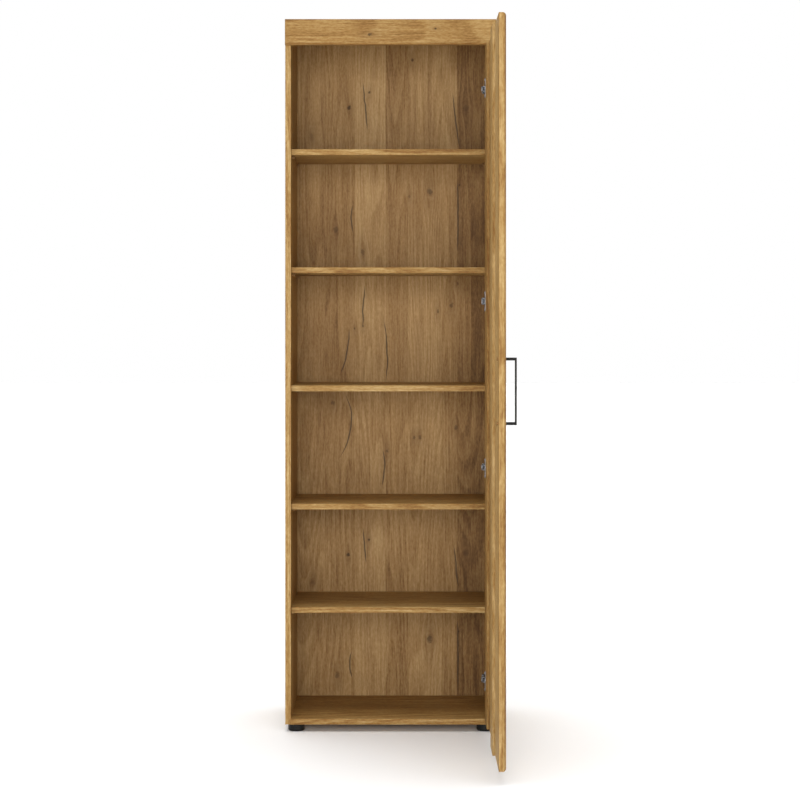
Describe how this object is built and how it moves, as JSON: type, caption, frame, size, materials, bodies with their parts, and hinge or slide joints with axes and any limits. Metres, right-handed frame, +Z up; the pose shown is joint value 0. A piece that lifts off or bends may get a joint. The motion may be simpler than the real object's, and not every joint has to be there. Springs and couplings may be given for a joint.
{
  "type": "pantry cabinet",
  "caption": "Tall narrow wood-effect pantry cabinet with shelves, a header rail, round glides and one full-height plank door on concealed hinges, standing open.",
  "frame": {"origin": "on the floor, midway between the two side panels, in the plane of their front edges", "axes": "+Z up; +Y from the front to the back; +X from the left side to the right side, seen from the front. The door is hinged on the right and stands open at a right angle at rest"},
  "size_m": [0.6076, 0.916, 1.997],
  "materials": {
    "oak_board": "oak-effect decor on particle board, matt, fine grain emboss",
    "oak_door": "oak-effect planks, matt, vertical grain, rounded front edges",
    "oak_back": "printed oak-effect hardboard with vertical staves, matt",
    "beech": "plain turned beech",
    "black_metal": "black powder coat, satin",
    "black_plastic": "moulded black plastic",
    "brown_plastic": "brown plastic",
    "nickel_steel": "nickel-plated pressed steel",
    "zinc_steel": "bright zinc-plated steel"
  },
  "bodies": {
    "carcass": {"arm_pins": "nickel_steel", "arm_screws": "nickel_steel", "back_lower": "oak_back", "back_nails": "zinc_steel", "back_strip": "brown_plastic", "back_upper": "oak_back", "bottom_panel": "oak_board", "bracket_screws": "zinc_steel", "cam_bolts": "zinc_steel", "cam_discs": "zinc_steel", "carcass_dowels": "beech", "foot_back_left": "black_plastic", "foot_back_right": "black_plastic", "foot_front_left": "black_plastic", "foot_front_right": "black_plastic", "foot_screws": "zinc_steel", "header_brackets": "zinc_steel", "header_rail": "oak_board", "header_screws": "zinc_steel", "hinge_arm_1": "nickel_steel", "hinge_arm_2": "nickel_steel", "hinge_arm_3": "nickel_steel", "hinge_arm_4": "nickel_steel", "hinge_plate_1": "nickel_steel", "hinge_plate_2": "nickel_steel", "hinge_plate_3": "nickel_steel", "hinge_plate_4": "nickel_steel", "plate_screws": "nickel_steel", "shelf_1": "oak_board", "shelf_2": "oak_board", "shelf_3": "oak_board", "shelf_4": "oak_board", "shelf_5": "oak_board", "shelf_pins": "brown_plastic", "side_left": "oak_board", "side_right": "oak_board", "top_panel": "oak_board", "wall_bracket_left": "zinc_steel", "wall_bracket_right": "zinc_steel"},
    "hinge_links": {"hinge_link_1": "nickel_steel", "hinge_link_2": "nickel_steel", "hinge_link_3": "nickel_steel", "hinge_link_4": "nickel_steel"},
    "door": {"cup_pins": "nickel_steel", "cup_screws": "nickel_steel", "door_plank_1": "oak_door", "door_plank_2": "oak_door", "door_plank_3": "oak_door", "door_plank_4": "oak_door", "door_spline_1": "beech", "door_spline_2": "beech", "door_spline_3": "beech", "handle": "black_metal", "handle_screws": "zinc_steel", "hinge_cup_1": "nickel_steel", "hinge_cup_2": "nickel_steel", "hinge_cup_3": "nickel_steel", "hinge_cup_4": "nickel_steel"}
  },
  "joints": [
    {"name": "door_swing", "type": "hinge", "parent": "hinge_links", "child": "door", "pos_m": [0.26471, -0.01727, 0.9645], "axis": [0, 0, 1], "range_deg": [-135, 15]},
    {"name": "hinge_link_swing", "type": "hinge", "parent": "carcass", "child": "hinge_links", "pos_m": [0.257, 0.005, 0.9645], "axis": [0, 0, 1], "range_deg": [-5.01, 45.01]}
  ],
  "couplings": [
    {"joint": "hinge_link_swing", "follows": "door_swing", "ratio": -0.33333}
  ]
}
